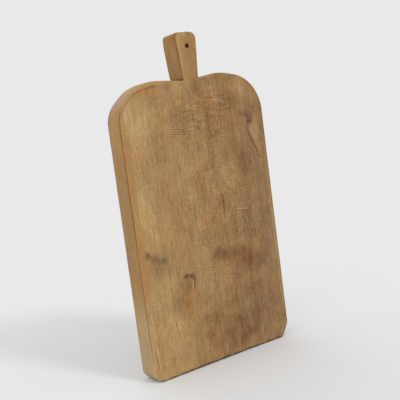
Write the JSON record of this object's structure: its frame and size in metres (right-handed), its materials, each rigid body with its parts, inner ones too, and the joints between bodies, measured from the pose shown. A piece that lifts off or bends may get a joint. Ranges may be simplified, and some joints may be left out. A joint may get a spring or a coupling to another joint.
{
  "type": "chopping board",
  "caption": "Thick one-plank wooden chopping board with arched shoulders, cut bottom corners and a short flared handle that has a hanging hole near its end.",
  "frame": {"origin": "middle of the bottom end, the end the board stands on", "axes": "+Z along the board to the end of the handle, -Y out of the cutting face, +X to the right when one faces the cutting face"},
  "size_m": [0.306, 0.0446, 0.588],
  "materials": {
    "wood": "bare wood, scrubbed and worn matt, with knife cuts, water stains and a knot"
  },
  "bodies": {
    "root": {"board": "wood"}
  },
  "joints": []
}
